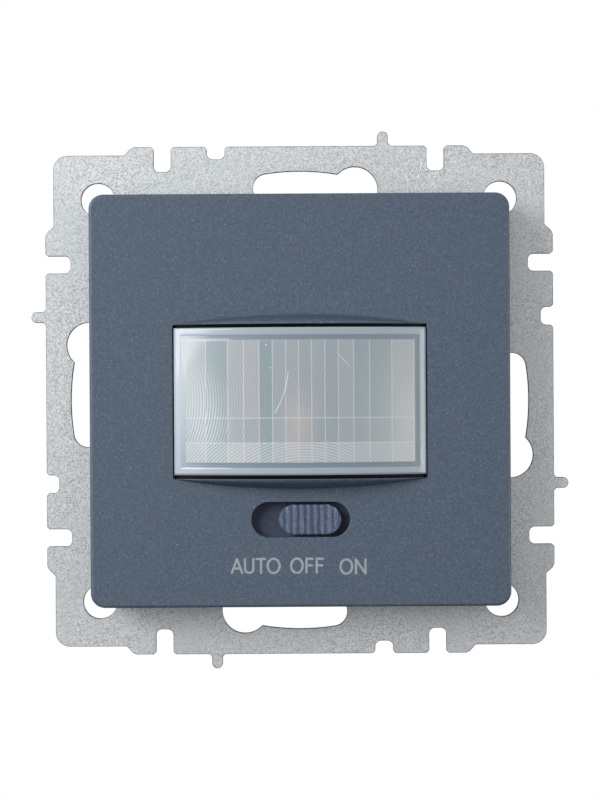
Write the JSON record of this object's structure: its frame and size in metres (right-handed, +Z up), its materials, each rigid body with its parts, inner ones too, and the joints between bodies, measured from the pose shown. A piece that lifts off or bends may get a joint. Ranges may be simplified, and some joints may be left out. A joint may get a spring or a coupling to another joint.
{
  "type": "motion sensor light switch",
  "caption": "Flush-mounted wall switch with a motion sensor behind a bowed lens, a three-position slider and a steel support plate.",
  "frame": {"origin": "middle of the support plate, on its rear face, which lies on the wall", "axes": "+X to the right as seen from the room, +Y into the wall, +Z up"},
  "size_m": [0.075, 0.0394, 0.075],
  "materials": {
    "galvanised_steel": "zinc-plated sheet, fine grain, satin",
    "cover_plastic": "moulded, slate blue-grey with a fine metallic fleck",
    "lens_plastic": "milky polyethylene, moulded with fine Fresnel rings",
    "frame_plastic": "black moulded",
    "chassis_plastic": "white moulded",
    "housing_plastic": "dark grey moulded, fine grain",
    "screw_steel": "zinc-plated",
    "circuit_board": "glass-fibre laminate with solder resist",
    "sensor_can": "nickel-plated steel",
    "sensor_window": "coated silicon filter",
    "clear_resin": "clear epoxy",
    "red_resin": "red epoxy",
    "switch_metal": "tinned sheet",
    "black_plastic": "moulded epoxy",
    "trimmer_plastic": "blue moulded",
    "dial_plastic": "ivory moulded",
    "relay_plastic": "blue moulded",
    "capacitor_sleeve": "shrunk sleeve",
    "film_plastic": "yellow moulded",
    "varistor_coat": "dipped blue epoxy",
    "resistor_coat": "flameproof lacquer",
    "terminal_plastic": "light grey moulded",
    "clamp_brass": "nickel-free brass"
  },
  "bodies": {
    "base": {"support_plate": "galvanised_steel", "front_cover": "cover_plastic", "fresnel_lens": "lens_plastic", "inner_frame": "frame_plastic", "slide_switch_body": "switch_metal", "slide_switch_pins": "switch_metal", "chassis": "chassis_plastic", "chassis_screws": "screw_steel", "rear_housing": "housing_plastic", "housing_screws": "screw_steel", "sensor_board": "circuit_board", "power_board": "circuit_board", "pir_sensor": "sensor_can", "pir_window": "sensor_window", "light_sensor": "clear_resin", "indicator_led": "red_resin", "time_trimmer_body": "trimmer_plastic", "lux_trimmer_body": "trimmer_plastic", "control_chip": "black_plastic", "board_header": "black_plastic", "relay": "relay_plastic", "electrolytic_capacitor": "capacitor_sleeve", "film_capacitor": "film_plastic", "varistor": "varistor_coat", "fusible_resistor": "resistor_coat", "rectifier_diodes": "black_plastic", "driver_transistor": "black_plastic", "terminal_block": "terminal_plastic", "terminal_clamps": "clamp_brass", "terminal_screws": "screw_steel"},
    "slider": {"slider_knob": "cover_plastic", "slide_switch_lever": "black_plastic"},
    "time_dial": {"time_trimmer_dial": "dial_plastic"},
    "lux_dial": {"lux_trimmer_dial": "dial_plastic"}
  },
  "joints": [
    {"name": "slider_slide", "type": "slide", "parent": "base", "child": "slider", "axis": [1, 0, 0], "range_m": [-0.0033, 0.0007]},
    {"name": "time_turn", "type": "hinge", "parent": "base", "child": "time_dial", "pos_m": [-0.0095, -0.0012, 0.013], "axis": [0, -1, 0], "range_deg": [-135, 135]},
    {"name": "lux_turn", "type": "hinge", "parent": "base", "child": "lux_dial", "pos_m": [0.0095, -0.0012, 0.013], "axis": [0, -1, 0], "range_deg": [-135, 135]}
  ]
}
